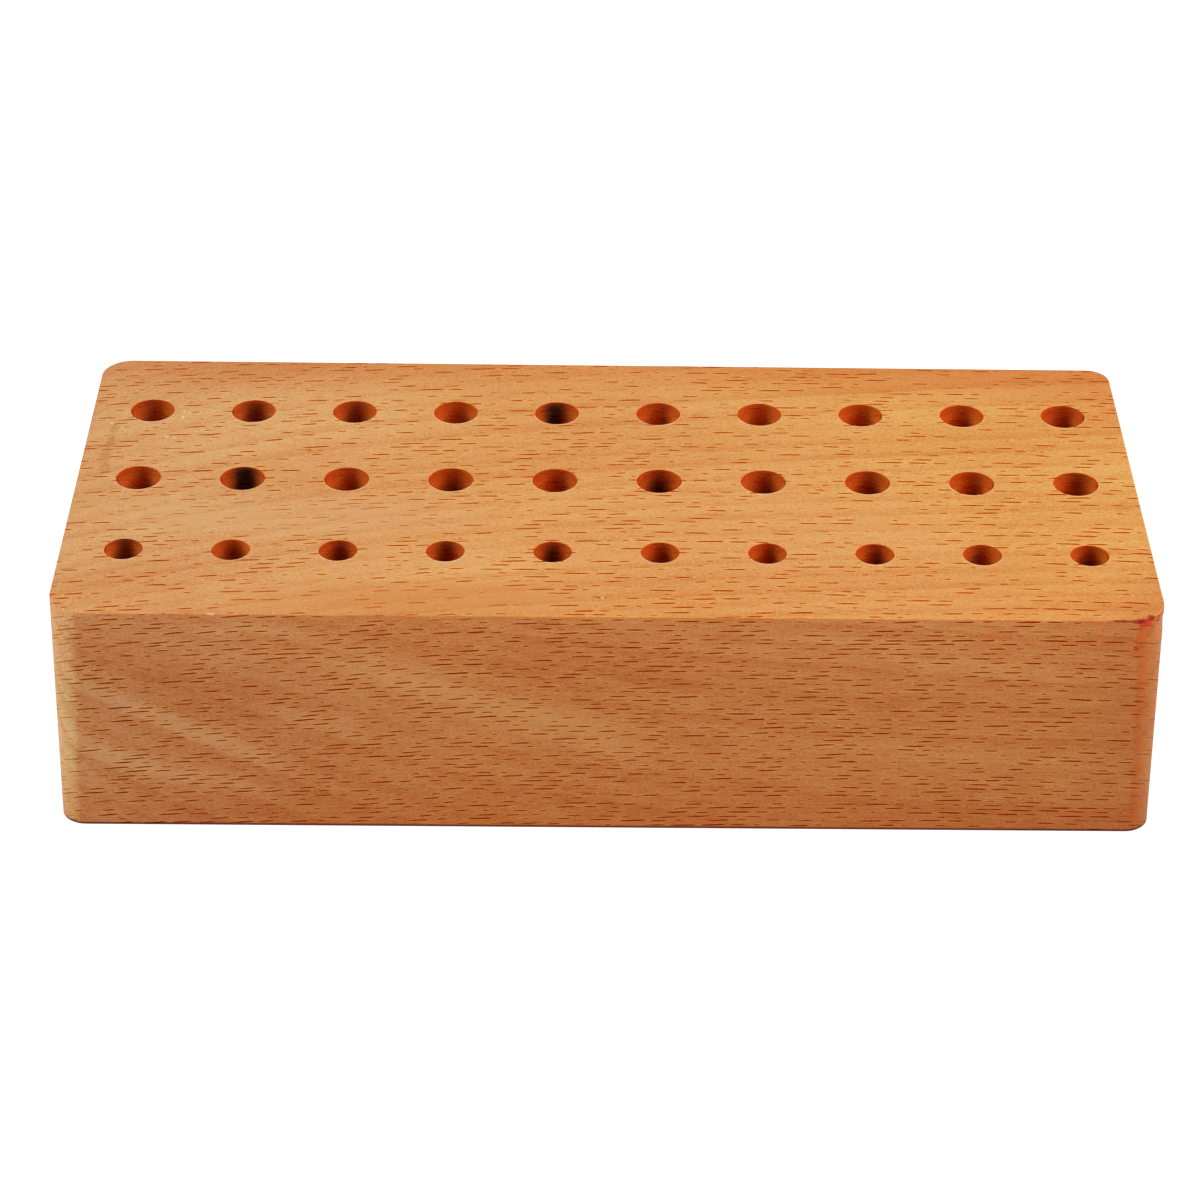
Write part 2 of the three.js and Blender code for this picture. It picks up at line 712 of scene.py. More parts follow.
        colour = bench.tinted(colour, self.side_tone, side)
        colour = bench.tinted(colour, self.end_tone, bench.ease(turned, *self.end_turn))
        # Paler and more orange along the eased top edges: a painted highlight.
        edge = bench.times(bench.ease(normal_z, *self.edge_start), bench.ease(normal_z, *self.edge_end))
        colour = bench.tinted(colour, self.edge_highlight_tone, edge)
        near_front = bench.times(side, bench.ease(y, *self.strip_reach))
        for strip in self.strips:
            colour = strip.lay(bench, colour, normal_x, near_front)
        height = bench.weighted((flecks, self.fleck_relief), (thin, self.thin_relief),
                                (tone, self.tone_relief))
        return colour, height, flecks

    def tones(self, bench: NodeBench, x: Socket, across: Socket, out: Socket, banded: Socket) -> Socket:
        """How pale the plain wood is, from the rings, the bands of several rings, the fibres and the pores.

        Args:
            bench: The tree to build in.
            x: The place along the block.
            across: The place across the rays.
            out: The place outwards through the rings.
            banded: How strongly the listed bands show.

        Returns:
            The tone, from 0 for deep to 1 for pale.
        """
        uneven = bench.noise(bench.join(bench.times(x, self.uneven_drift), self.uneven_seed,
                                        bench.times(out, 1 / self.uneven_width)), detail=1.0)
        turn = bench.line(out, 1 / self.ring_width, bench.times(uneven, self.uneven_weight))
        phase = bench.math("FRACT", turn)
        late = bench.times(bench.ease(phase, *self.late_start),
                           bench.less(1.0, bench.ease(phase, *self.late_end)))
        depth = bench.line(bench.chance(bench.math("FLOOR", turn)), 1 - self.least_ring, self.least_ring)
        rings = bench.times(late, depth)

        bands = bench.noise(bench.join(bench.times(x, self.band_drift), self.band_seed,
                                       bench.times(out, 1 / self.band_width)), detail=self.band_detail)
        spot = bench.join(x, across, out)
        fine = bench.weighted(self.mottle.read(bench, spot), self.fibres.read(bench, spot))
        fine = bench.times(fine, bench.line(banded, 1 - self.fine_least, self.fine_least))
        varied = bench.weighted((rings, self.ring_weight), (bands, self.band_weight),
                                self.clouds.read(bench, spot), (fine, 1.0), self.pores.read(bench, spot))
        for band in self.pale_bands:
            middle = self.depth_of(band.x, self.band_front, band.z)
            aside = bench.weighted((out, 1.0), (x, band.slope))
            aside = bench.unsigned(bench.plus(aside, -middle - band.slope * band.x))
            reach = bench.unsigned(bench.less(x, band.x))
            cover = bench.times(bench.ease(aside, band.half_width, 0.0),
                                bench.ease(reach, band.half_length, band.half_length * self.band_fade))
            varied = bench.line(bench.times(cover, banded), band.strength, varied)
        return bench.math("ADD", varied, self.middle_tone, clamp=True)


@dataclass(frozen=True)
class MouthHighlight:
    """A painted highlight round each hole's mouth: a thin line, pale before it and redder behind.
    Millimetres.
    """

    pitch: tuple[float, float] = (21.0, 27.0)
    narrow_behind: float = -12.6
    radii: tuple[float, float] = (3.75, 4.5)
    width: float = 0.46
    near_highlight_tone: Colour = (1.12, 1.36, 1.90)
    far_highlight_tone: Colour = (1.07, 0.93, 0.88)

    full_share = 0.4
    near_share = 0.9
    fade_heights = (44.0, 48.0)

    def lay(self, bench: NodeBench, colour: Socket, place: tuple[Socket, Socket, Socket]) -> Socket:
        """Lay the painted highlights over a colour.

        Args:
            bench: The tree to build in.
            colour: The colour so far.
            place: The three coordinates.

        Returns:
            The changed colour.
        """
        x, y, z = place
        long, deep = self.pitch
        column = bench.math("FRACT", bench.times(x, 1 / long))
        row = bench.math("FRACT", bench.line(y, 1 / deep, -self.narrow_behind / deep))
        right = bench.line(column, long, -long / 2)
        back = bench.line(row, deep, -deep / 2)
        narrow, wide = self.radii
        radius = bench.line(bench.math("GREATER_THAN", y, self.narrow_behind), wide - narrow, narrow)
        out = bench.less(bench.length(bench.join(right, back, 0.0)), radius)
        line = bench.times(bench.ease(out, self.width, self.width * self.full_share),
                           bench.ease(z, *self.fade_heights))
        tone = bench.mix(bench.ease(back, -narrow * self.near_share, 0.0), self.near_highlight_tone, self.far_highlight_tone)
        return bench.tinted(colour, tone, line)


@dataclass(frozen=True)
class OiledBeech:
    """The finish of the block outside: planed, sanded and oiled to a satin sheen."""

    name: str = "beech_planed"
    roughness: float = 0.50
    roughness_change: float = 0.10
    relief_depth: float = 0.05 * MM
    relief_strength: float = 0.35
    specular: float = 0.05
    mouth_highlights: MouthHighlight = MouthHighlight()
    marks: tuple[Mark, ...] = ()

    def make(self, grain: BeechGrain) -> bpy.types.Material:
        """Make the material.

        Args:
            grain: The wood under the finish.

        Returns:
            The finished material.
        """
        material, bench, shader = new_material(self.name)
        colour, height, flecks = grain.build(bench)
        # Painted highlight round each hole's mouth.
        colour = self.mouth_highlights.lay(bench, colour, bench.split(bench.place()))
        colour = add_marks(bench, colour, self.marks)
        roughness = bench.line(flecks, self.roughness_change, self.roughness)
        set_shader(bench, shader, colour, roughness, self.specular)
        add_bump(bench, shader, height, self.relief_depth, self.relief_strength)
        return material


@dataclass(frozen=True)
class DrilledBeech:
    """The finish of the holes' walls: raw wood, rough from the drill and scorched in places, with painted
    shade down the far walls, painted light on their right sides and painted light deeper down.
    """

    name: str = "beech_drilled"
    roughness: float = 0.72
    specular: float = 0.10
    wall_tone: Colour = (1.05, 0.315, 0.054)
    right_wall_painted_light: Colour = (1.16, 1.8, 2.6)
    char_and_shade: Colour = (0.024, 0.011, 0.004)
    flecked: float = 0.4
    tear_length: float = 1.4
    tear_height: float = 0.22
    depth: float = 7.0
    deep_painted_light: Colour = (1.4, 2.1, 3.4)
    relief_depth: float = 0.25 * MM
    relief_strength: float = 0.6

    # How far left a wall faces for its painted light, and what each noise adds to the scorching, the painted
    # shade and the relief
    right_wall_light_turn = (0.0, -0.8)
    specks_per_mm = 2.2
    noise_detail = 3.0
    tear_roughness = 0.65
    speck_roughness = 0.6
    scorch_and_shade_tears = 0.9
    scorch_specks = 0.32
    plain_tears = 0.24
    grain_relief = 0.4
    speck_relief = 0.6

    def make(self, grain: BeechGrain) -> bpy.types.Material:
        """Make the material.

        Args:
            grain: The wood that is drilled.

        Returns:
            The finished material.
        """
        material, bench, shader = new_material(self.name)
        colour, height, _ = grain.build(bench, self.flecked)
        colour = bench.tinted(colour, self.wall_tone)
        place = bench.place()
        normal_x, _, _ = bench.facing()
        # Walls on the right side of each hole, which face left, are painted paler and browner: painted light
        # where the left lamp falls.
        colour = bench.tinted(colour, self.right_wall_painted_light, bench.ease(normal_x, *self.right_wall_light_turn))
        _, _, z = bench.split(place)
        # Paler and less red deeper down the walls: painted light that lifts the shade in the holes.
        below = bench.less(cad_box[1].z / MM, z)
        colour = bench.tinted(colour, self.deep_painted_light, bench.ease(below, 0.0, self.depth))
        cell = (1 / self.tear_length, 1 / self.tear_length, 1 / self.tear_height)
        tears = bench.noise(bench.vector("MULTIPLY", place, cell), self.noise_detail, self.tear_roughness)
        close = bench.vector("MULTIPLY", place, (self.specks_per_mm,) * 3)
        specks = bench.noise(close, self.noise_detail, self.speck_roughness)
        # The attribute holds the drill's scorching and painted shade, darkest deep down on the far walls.
        read = bench.add("ShaderNodeAttribute", attribute_name=SCORCH_AND_SHADE, attribute_type="GEOMETRY")
        scorch_and_shade = read.outputs["Fac"]
        burnt_and_shaded = bench.weighted((scorch_and_shade, 1.0), (bench.times(scorch_and_shade, tears), self.scorch_and_shade_tears),
                               (specks, self.scorch_specks), (tears, self.plain_tears))
        colour = bench.mix(bench.math("MULTIPLY", burnt_and_shaded, 1.0, clamp=True), colour, self.char_and_shade)
        set_shader(bench, shader, colour, self.roughness, self.specular)
        height = bench.weighted((height, self.grain_relief), (tears, 1.0), (specks, self.speck_relief))
        add_bump(bench, shader, height, self.relief_depth, self.relief_strength)
        return material


def new_material(name: str) -> tuple[bpy.types.Material, NodeBench, bpy.types.Node]:
    """Start a material with nodes.

    Args:
        name: The material's name.

    Returns:
        The material, a bench on its tree, and its surface shader.
    """
    material = bpy.data.materials.new(name)
    material.use_nodes = True
    bench = NodeBench(material.node_tree)
    shader = next(node for node in material.node_tree.nodes if node.type == "BSDF_PRINCIPLED")
    return material, bench, shader


def set_shader(bench: NodeBench, shader: bpy.types.Node, colour: Feed, roughness: Feed,
               specular: float) -> None:
    """Feed a surface shader its colour, its roughness and its specular level."""
    for name, value in (("Base Color", colour), ("Roughness", roughness), ("Specular IOR Level", specular)):
        bench.feed(shader.inputs[name], value)


def add_bump(bench: NodeBench, shader: bpy.types.Node, height: Socket, distance: float,
             strength: float) -> None:
    """Give a shader a fine relief.

    Args:
        bench: The tree to build in.
        shader: The surface shader.
        height: The relief's height, from 0 to 1.
        distance: How far a height of 1 stands out.
        strength: How much of the relief shows.
    """
    values = {"Height": height, "Distance": distance, "Strength": strength}
    bench.feed(shader.inputs["Normal"], bench.through("ShaderNodeBump", values, "Normal"))


def add_marks(bench: NodeBench, colour: Socket, marks: Sequence[Mark]) -> Socket:
    """Lay small soft marks over a colour.

    Args:
        bench: The tree to build in.
        colour: The colour so far.
        marks: The marks.

    Returns:
        The marked colour.
    """
    place = bench.place()
    for mark in marks:
        shares = bench.vector("DIVIDE", bench.vector("SUBTRACT", place, mark.place), mark.reach)
        rough = bench.noise(bench.vector("MULTIPLY", place, (1 / mark.grain,) * 3), roughness=0.6)
        far = bench.line(rough, mark.speckle * 2, bench.length(shares))
        colour = bench.mix(bench.times(bench.ease(far, *MARK_EDGE), mark.strength), colour, mark.colour)
    return colour


# The block and its holes


@dataclass(frozen=True)
class Corner:
    """One upright corner: its side, how far it stands in from the frame's box, and its radii. Metres."""

    right: int
    back: int
    top_inset: tuple[float, float]
    foot_inset: tuple[float, float]
    radius: float
    foot_radius: float


@dataclass(frozen=True)
class Dent:
    """A knock in the wood: where it is, how far it reaches and how far it pushes in. Millimetres."""

    place: tuple[float, float, float]
    reach: tuple[float, float, float]
    push: tuple[float, float, float]


@dataclass(frozen=True)
class BurnAndShade:
    """How dark one hole's wall is painted, partly the drill's scorching and partly painted shade deeper in
    the hole: the middle angle, half width, strength and full depth.
    """

    angle: float
    half_width: float
    strength: float
    top: float


@dataclass
class Drilling:
    """Three rows of blind holes, with the drill's point at the bottom and an eased rim."""

    diameters: tuple[float, float, float] = (7.5 * MM, 9.0 * MM, 9.0 * MM)
    rim_eases: tuple[float, float, float] = (0.08 * MM, 0.09 * MM, 0.09 * MM)
    depth: float = 40 * MM
    point_angle: float = math.radians(118)
    sides: int = 64
    rim_steps: int = 4
    rim_sweep: float = math.radians(78)
    clearance: float = 0.1 * MM
    overrun: float = 2 * MM
    ring_shares: tuple[float, ...] = (0.02, 0.04, 0.06, 0.08, 0.105, 0.135, 0.175, 0.23, 0.31, 0.45, 0.65)
    rows: tuple[str, str, str] = ("front", "middle", "back")

    def middles(self, row: int) -> list[Vector]:
        """The middle of each hole of a row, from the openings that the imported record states.

        Args:
            row: Which row, counted from the front.

        Returns:
            One point for each hole, from left to right, at height zero.
        """
        boxes = [opening["box_m"] for opening in frame["record"]["physics"]["openings"]
                 if opening["name"].startswith(self.rows[row] + "_hole_")]
        found = [Vector(((low[0] + high[0]) / 2, (low[1] + high[1]) / 2, 0)) for low, high in boxes]
        return sorted(found, key=lambda middle: middle.x)

    def cutter(self, row: int, top: float) -> bpy.types.Object:
        """Model what one hole of a row takes away, standing on the origin's axis.

        Args:
            row: Which row, counted from the front.
            top: The height of the block's top.

        Returns:
            The cutter.
        """
        radius, ease = self.diameters[row] / 2, self.rim_eases[row]
        wall_top, wall_foot = top - ease, top - self.depth
        clear_selection()
        bpy.ops.mesh.primitive_cylinder_add(
            vertices=self.sides, radius=radius, depth=wall_top - wall_foot,
            location=(0, 0, (wall_top + wall_foot) / 2))
        cutter = bpy.context.active_object
        settle(cutter)
        with editing(cutter):
            pick(cutter, Element.FACES, lambda corners: level(corners, wall_foot))
            bpy.ops.mesh.extrude_region_move(
                TRANSFORM_OT_translate={"value": (0, 0, -radius / math.tan(self.point_angle / 2))})
            bpy.ops.mesh.merge(type="CENTER")
            for share in self.ring_shares:
                bpy.ops.mesh.select_all(action="SELECT")
                bpy.ops.mesh.bisect(plane_co=(0, 0, top - share * self.depth), plane_no=(0, 0, 1))
            pick(cutter, Element.FACES, lambda corners: level(corners, wall_top))
            reach = radius
            height = wall_top
            for step in range(1, self.rim_steps + 1):
                angle = self.rim_sweep * step / self.rim_steps
                next_reach = radius + ease * (1 - math.cos(angle))
                next_height = wall_top + ease * math.sin(angle)
                self.step_out(next_height - height, next_reach / reach)
                reach, height = next_reach, next_height
            rise = top + self.clearance - height
            next_reach = reach + rise * math.tan(self.rim_sweep)
            self.step_out(rise, next_reach / reach)
            self.step_out(self.overrun, 1.0)
        return cutter

    def step_out(self, rise: float, spread: float) -> None:
        """Extrude the selected top face of the cutter upwards and spread it so many times wider."""
        bpy.ops.mesh.extrude_region_move(TRANSFORM_OT_translate={"value": (0, 0, rise)})
        bpy.ops.transform.resize(value=(spread, spread, 1))

    def cut(self, block: bpy.types.Object, top: float) -> None:
        """Drill all the holes into the block.

        Args:
            block: The block.
            top: The height of its top.
        """
        cutters = []
        for row in range(len(self.rows)):
            model = self.cutter(row, top)
            for middle in self.middles(row):
                copy = model.copy()
                copy.data = model.data.copy()
                copy.location = middle
                bpy.context.scene.collection.objects.link(copy)
                cutters.append(copy)
            bpy.data.objects.remove(model)
        clear_selection()
        for cutter in cutters:
            cutter.select_set(True)
        bpy.context.view_layer.objects.active = cutters[0]
        bpy.ops.object.join()
        drills = bpy.context.active_object
        settle(drills)
        apply_modifier(block, "BOOLEAN", operation="DIFFERENCE", solver="EXACT", object=drills)
        bpy.data.objects.remove(drills)

    def nearest(self, place: Vector) -> tuple[int, int, Vector]:
        """Find the hole nearest to a point.

        Args:
            place: The point.

        Returns:
            The hole's row and column, and the level way from its middle to the point.
        """
        ways = [(row, column, Vector((place.x - middle.x, place.y - middle.y, 0)))
                for row in range(len(self.rows)) for column, middle in enumerate(self.middles(row))]
        return min(ways, key=lambda way: way[2].length)


@dataclass
class BeechBlock:
    """The block in the box from low to high: sawn a little out of square, rounded by hand, then drilled."""

    low: Vector
    high: Vector
    drilling: Drilling
    burns_and_shade: tuple[tuple[BurnAndShade, ...], ...]
    dents: tuple[Dent, ...]
    corners: tuple[Corner, ...]
    corner_steps: int = 14
    edge_ease: float = 0.34 * MM
    ease_steps: int = 3
    front_steps: int = 260
    level_shares: tuple[float, ...] = (0.06, 0.2, 0.5, 0.76, 0.84, 0.87, 0.89, 0.91, 0.93, 0.95, 0.97)
    smooth_angle: float = math.radians(35)
    corner_reach: float = 3 * MM
    foot_reach: float = 0.4 * MM
    burn_and_shade_rise: float = 0.6

    def build(self) -> bpy.types.Object:
        """Model the block.

        Returns:
            The drilled block, without its materials.
        """
        block = self.blank()
        self.round_corners(block)
        self.divide(block)
        self.ease_edges(block)
        self.knock(block)
        self.drilling.cut(block, self.high.z)
        activate(block)
        bpy.ops.object.shade_smooth_by_angle(angle=self.smooth_angle)
        apply_modifier(block, "WEIGHTED_NORMAL", mode="FACE_AREA", weight=100, keep_sharp=True)
        self.sort_finishes(block)
        self.scorch_and_shade(block)
        return block

    def blank(self) -> bpy.types.Object:
        """Saw the blank, whose corners stand a little in from those of its box.

        Returns:
            The blank.
        """
        clear_selection()
        bpy.ops.mesh.primitive_cube_add(size=1, location=(self.low + self.high) / 2)
        blank = bpy.context.active_object
        blank.name = "beech_block_dressed"
        blank.scale = self.high - self.low
        settle(blank)
        middle = (self.low.z + self.high.z) / 2
        with editing(blank):
            for corner in self.corners:
                for at_top, inset in ((True, corner.top_inset), (False, corner.foot_inset)):
                    pick(blank, Element.VERTICES, lambda corners: self.belongs(corners[0], corner)
                         and (corners[0].z > middle) is at_top)
                    bpy.ops.transform.translate(value=(-corner.right * inset[0], -corner.back * inset[1], 0))
        return blank

    def belongs(self, point: Vector, corner: Corner) -> bool:
        """Whether a point lies on a corner's side of the block."""
        return point.x * corner.right > 0 and point.y * corner.back > 0

    def knock(self, block: bpy.types.Object) -> None:
        """Push the small dents into the block before it is drilled.

        Args:
            block: The block.
        """
        for vertex in block.data.vertices:
            for dent in self.dents:
                away = (vertex.co - Vector(dent.place) * MM) / MM
                share = math.hypot(*(part / reach for part, reach in zip(away, dent.reach)))
                if share < 1.0:
                    vertex.co += Vector(dent.push) * MM * (1.0 - share * share) ** 2

    def round_corners(self, block: bpy.types.Object) -> None:
        """Round each upright corner to its own radius, smaller at the foot.

        Args:
            block: The blank.
        """
        upright = self.high.z - self.low.z
        with editing(block):
            for corner in self.corners:
                edge_x, edge_y = corner.right * self.high.x, corner.back * self.high.y
                pick(block, Element.EDGES, lambda corners: abs(corners[0].z - corners[1].z) > upright / 2
                     and all(math.hypot(c.x - edge_x, c.y - edge_y) < self.corner_reach for c in corners))
                self.bevel(corner.radius, self.corner_steps)
        for corner in self.corners:
            self.tighten_foot(block, corner)

    def bevel(self, width: float, steps: int) -> None:
        """Bevel the selected edges."""
        bpy.ops.mesh.bevel(offset_type="OFFSET", offset=width, segments=steps, profile=0.5, affect="EDGES")

    def tighten_foot(self, block: bpy.types.Object, corner: Corner) -> None:
        """Give a rounded corner its smaller radius at the foot.

        Args:
            block: The rounded blank.
            corner: The corner.
        """
        edge_x = corner.right * (self.high.x - corner.foot_inset[0])
        edge_y = corner.back * (self.high.y - corner.foot_inset[1])
        share = corner.foot_radius / corner.radius
        for vertex in block.data.vertices:
            if abs(vertex.co.z - self.low.z) > NEAR or not self.belongs(vertex.co, corner):
                continue
            depth_x = (edge_x - vertex.co.x) * corner.right
            depth_y = (edge_y - vertex.co.y) * corner.back
            if max(depth_x, depth_y) < corner.radius + self.foot_reach:
                vertex.co.x = edge_x - corner.right * depth_x * share
                vertex.co.y = edge_y - corner.back * depth_y * share

    def divide(self, block: bpy.types.Object) -> None:
        """Divide the front and the upright walls, so that small chips and dents have points to move.

        Args:
            block: The rounded blank.
        """
        long, tall = (self.high.x - self.low.x) / 2, self.high.z - self.low.z
        with editing(block):
            pick(block, Element.EDGES, lambda corners: abs(corners[0].x - corners[1].x) > long
                 and all(c.y < self.low.y / 2 for c in corners))
            bpy.ops.mesh.subdivide(number_cuts=self.front_steps)
            for share in self.level_shares:
                bpy.ops.mesh.select_all(action="SELECT")
                bpy.ops.mesh.bisect(plane_co=(0, 0, self.low.z + share * tall), plane_no=(0, 0, 1))

    def ease_edges(self, block: bpy.types.Object) -> None:
        """Ease the edges round the top and the underside.

        Args:
            block: The divided blank.
        """
        with editing(block):
            pick(block, Element.EDGES,
                 lambda corners: level(corners, self.high.z) or level(corners, self.low.z))
            self.bevel(self.edge_ease, self.ease_steps)

    def sort_finishes(self, block: bpy.types.Object) -> None:
        """Give each face its finish: drilled inside the holes, planed elsewhere.

        Args:
            block: The drilled block.
        """
        drilling = self.drilling
        for face in block.data.polygons:
            face.material_index = Finish.PLANED.value
            if self.high.z - face.center.z > NEAR:
                row, _, way = drilling.nearest(face.center)
                if way.length < drilling.diameters[row] / 2 + drilling.rim_eases[row]:
                    face.material_index = Finish.DRILLED.value

    def scorch_and_shade(self, block: bpy.types.Object) -> None:
        """Write how dark each point of the walls is painted, the drill's scorching and painted shade
        together, into the block's own attribute.

        Args:
            block: The drilled block.
        """
        drilling = self.drilling
        values = [0.0] * len(block.data.vertices)
        walls = {index for face in block.data.polygons if face.material_index == Finish.DRILLED.value
                 for index in face.vertices}
        for index in walls:
            place = block.data.vertices[index].co
            row, column, way = drilling.nearest(place)
            burn_and_shade = self.burns_and_shade[row][column]
            angle = math.degrees(math.atan2(way.y, way.x)) % 360
            aside = abs((angle - burn_and_shade.angle + 180) % 360 - 180) / burn_and_shade.half_width
            # The band grows darker with depth below the rim: painted shade.
            sunk = ((self.high.z - place.z) / MM + self.burn_and_shade_rise) / (burn_and_shade.top + self.burn_and_shade_rise)
            values[index] = min(1.0, burn_and_shade.strength * math.exp(-aside * aside) * min(1.0, max(0.0, sunk)))
        attribute = block.data.attributes.new(SCORCH_AND_SHADE, "FLOAT", "POINT")
        attribute.data.foreach_set("value", values)


# The floor, the lights and the camera


@dataclass(frozen=True)
class Lamp:
    """One soft rectangular light that faces the block."""

    name: str
    place: tuple[float, float, float]
    size: float
    power: float
    colour: Colour = (1.0, 1.0, 1.0)


@dataclass
class Studio:
    """A plain pale floor and soft light."""

    lamps: tuple[Lamp, ...]
    floor_size: float = 6.0
    floor_tone: Colour = (0.22, 0.22, 0.22)
    floor_glow: float = 0.93
    floor_roughness: float = 0.9
    floor_specular: float = 0.1
    glow_tone: Colour = (1.0, 1.0, 1.0)
    horizon: Colour = (0.5, 0.5, 0.5)
    zenith: Colour = (0.16, 0.16, 0.16)
    zenith_height: float = 0.7

    def build(self, aim: Vector) -> None:
        """Make the floor, the sky and the lights.

        Args:
            aim: The point that the lights face.
        """
        self.floor()
        self.world()
        for lamp in self.lamps:
            self.light(lamp, aim)

    def floor(self) -> None:
        """Lay the floor under the block."""
        clear_selection()
        bpy.ops.mesh.primitive_plane_add(size=self.floor_size)
        floor = bpy.context.active_object
        floor.name = "floor"
        material, bench, shader = new_material("floor_paper")
        set_shader(bench, shader, self.floor_tone, self.floor_roughness, self.floor_specular)
        bench.feed(shader.inputs["Emission Color"], self.glow_tone)
        bench.feed(shader.inputs["Emission Strength"], self.floor_glow)
        floor.data.materials.append(material)

    def world(self) -> None:
        """Hang a grey sky, brightest towards the horizon."""
        world = bpy.data.worlds.new("studio_sky")
        world.use_nodes = True
        bpy.context.scene.world = world
        sky = next(node for node in world.node_tree.nodes if node.type == "BACKGROUND")
        bench = NodeBench(world.node_tree)
        _, _, height = bench.split(bench.add("ShaderNodeTexCoord").outputs["Generated"])
        stops = ((0.0, self.horizon), (self.zenith_height, self.zenith))
        bench.feed(sky.inputs["Color"], bench.ramp(height, stops))

    def light(self, lamp: Lamp, aim: Vector) -> None:
        """Hang one lamp.

        Args:
            lamp: The lamp.
            aim: The point that it faces.
        """
        data = bpy.data.lights.new(lamp.name, "AREA")
        data.shape = "SQUARE"
        data.size = lamp.size
        data.energy = lamp.power
        data.color = lamp.colour
        light = bpy.data.objects.new(lamp.name, data)
        light.location = lamp.place
        light.rotation_euler = (aim - Vector(lamp.place)).to_track_quat("-Z", "Y").to_euler()
        bpy.context.scene.collection.objects.link(light)


@dataclass(frozen=True)
class Viewpoint:
    """The camera, as the photograph was taken."""

    place: tuple[float, float, float] = (0.6339 * MM, -640.35 * MM, 437.59 * MM)
    turn: tuple[float, float, float] = (57.0115, -0.2662, 0.3440)
    lens: float = 111.42
    sensor: float = 36.0
    nearest: float = 10 * MM
    farthest: float = 20.0

    def build(self) -> None:
        """Set up the camera."""
        data = bpy.data.cameras.new("camera")
        data.sensor_fit = "HORIZONTAL"
        data.sensor_width = self.sensor
        data.lens = self.lens
        data.clip_start = self.nearest
        data.clip_end = self.farthest
        camera = bpy.data.objects.new("camera", data)
        camera.location = self.place
        camera.rotation_euler = [math.radians(angle) for angle in self.turn]
        bpy.context.scene.collection.objects.link(camera)
        bpy.context.scene.camera = camera


# Each hole's dark band on its far wall: partly the drill's scorching, partly painted shade deep in the hole.
BURNS_AND_SHADE = tuple(tuple(BurnAndShade(*values) for values in row) for row in (
    ((94, 35, 0.7, 0.2), (82, 35, 0.6, 3.5), (86, 35, 0.6, 2.0), (90, 35, 0.6, 1.0), (94, 35, 0.8, 2.0),
     (74, 22, 0.7, 3.5), (74, 17, 0.6, 3.5), (74, 28, 0.7, 3.5), (98, 35, 0.5, 3.5), (74, 35, 0.7, 3.5)),
    ((78, 14, 0.7, 6.0), (90, 35, 1.2, 1.0), (74, 14, 0.8, 6.0), (78, 35, 0.8, 6.0), (70, 17, 0.7, 6.0),
     (90, 35, 0.9, 3.5), (74, 22, 0.8, 6.0), (70, 28, 0.6, 3.5), (70, 17, 0.7, 6.0), (70, 28, 0.5, 1.0)),
    ((104, 35, 0.3, 0.2), (94, 35, 0.7, 2.0), (94, 35, 0.6, 2.0), (68, 15, 0.6, 6.0), (98, 35, 1.0, 1.0),
     (72, 12, 0.6, 6.0), (70, 13, 0.5, 6.0), (68, 14, 0.35, 2.0), (68, 17, 0.6, 6.0), (70, 14, 0.7, 6.0)),
))

DENTS = (
    Dent((106.6, -45.2, 46.4), (3.4, 3.8, 2.2), (-0.46, 0.12, 0.0)),
    Dent((-75.6, -49.0, 49.9), (1.6, 0.9, 0.8), (0.0, 0.24, -0.18)),
    Dent((-104.6, -46.9, 49.9), (0.9, 0.9, 0.8), (0.18, 0.2, -0.22)),
    Dent((103.8, -48.1, 49.8), (2.4, 1.2, 0.9), (-0.08, 0.2, -0.22)),
)

CORNERS = (
    Corner(-1, -1, (0.82 * MM, 0.24 * MM), (0.14 * MM, 0.14 * MM), 7.4 * MM, 5.0 * MM),
    Corner(1, -1, (0.54 * MM, 0.1 * MM), (0.0, 0.14 * MM), 7.0 * MM, 5.0 * MM),
    Corner(1, 1, (1.93 * MM, 1.46 * MM), (1.4 * MM, 1.4 * MM), 4.6 * MM, 4.6 * MM),
    Corner(-1, 1, (0.9 * MM, 0.0), (0.5 * MM, 0.0), 6.2 * MM, 5.4 * MM),
)

LAMPS = (
    Lamp("right_box", (1.0, -0.20, 0.85), 0.6, 16.2),
    Lamp("left_box", (-1.0, -0.10, 0.85), 0.6, 9.6),
)

SMUDGE = (0.46, 0.16, 0.035)
CRUMB = (0.86, 0.66, 0.42)
STAIN = (0.46, 0.026, 0.008)
DARK_STAIN = (0.24, 0.012, 0.004)
WARM_STAIN = (0.52, 0.105, 0.020)
WARM_BLUSH = (0.58, 0.22, 0.060)
PALE_BLUSH = (0.66, 0.40, 0.19)
PALE_CHIP = (0.62, 0.36, 0.22)

